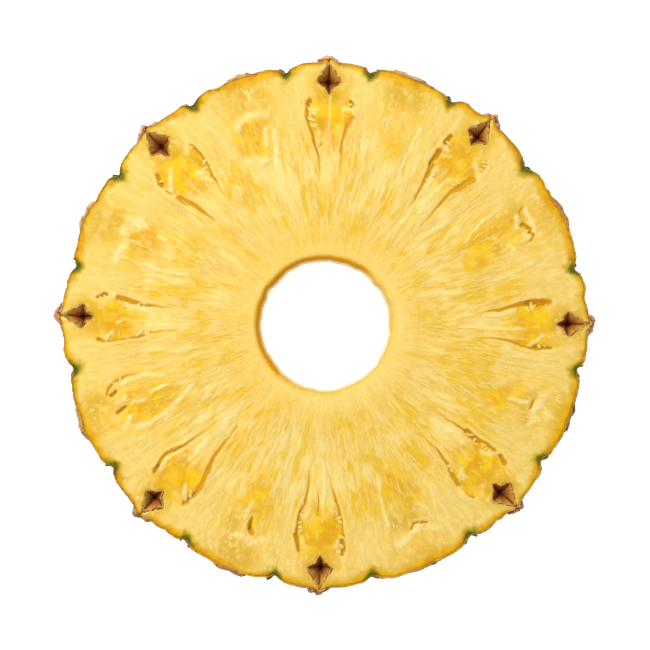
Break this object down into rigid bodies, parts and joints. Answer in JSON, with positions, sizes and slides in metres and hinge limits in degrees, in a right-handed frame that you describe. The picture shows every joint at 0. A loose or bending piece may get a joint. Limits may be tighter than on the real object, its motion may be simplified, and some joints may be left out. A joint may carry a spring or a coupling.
{
  "type": "pineapple ring",
  "caption": "Round slice of raw pineapple with its rind on, fibrous yellow flesh, open brown eyes near the rim and the core cut out to a round hole.",
  "frame": {"origin": "on the axis of the hole, in the plane of the underside that the slice rests on", "axes": "+Z along the axis of the hole, up out of the shown cut face; +X through the eye at the right of the shown face"},
  "size_m": [0.122, 0.122, 0.013],
  "materials": {
    "flesh": "wet cut fruit flesh, fibrous, pale to golden yellow",
    "rind": "leathery rind, orange-brown with green grooves and dry tan scales",
    "eye_lining": "dry dark brown skin that lines the eyes"
  },
  "bodies": {
    "root": {"pineapple_ring": "flesh"}
  },
  "joints": []
}
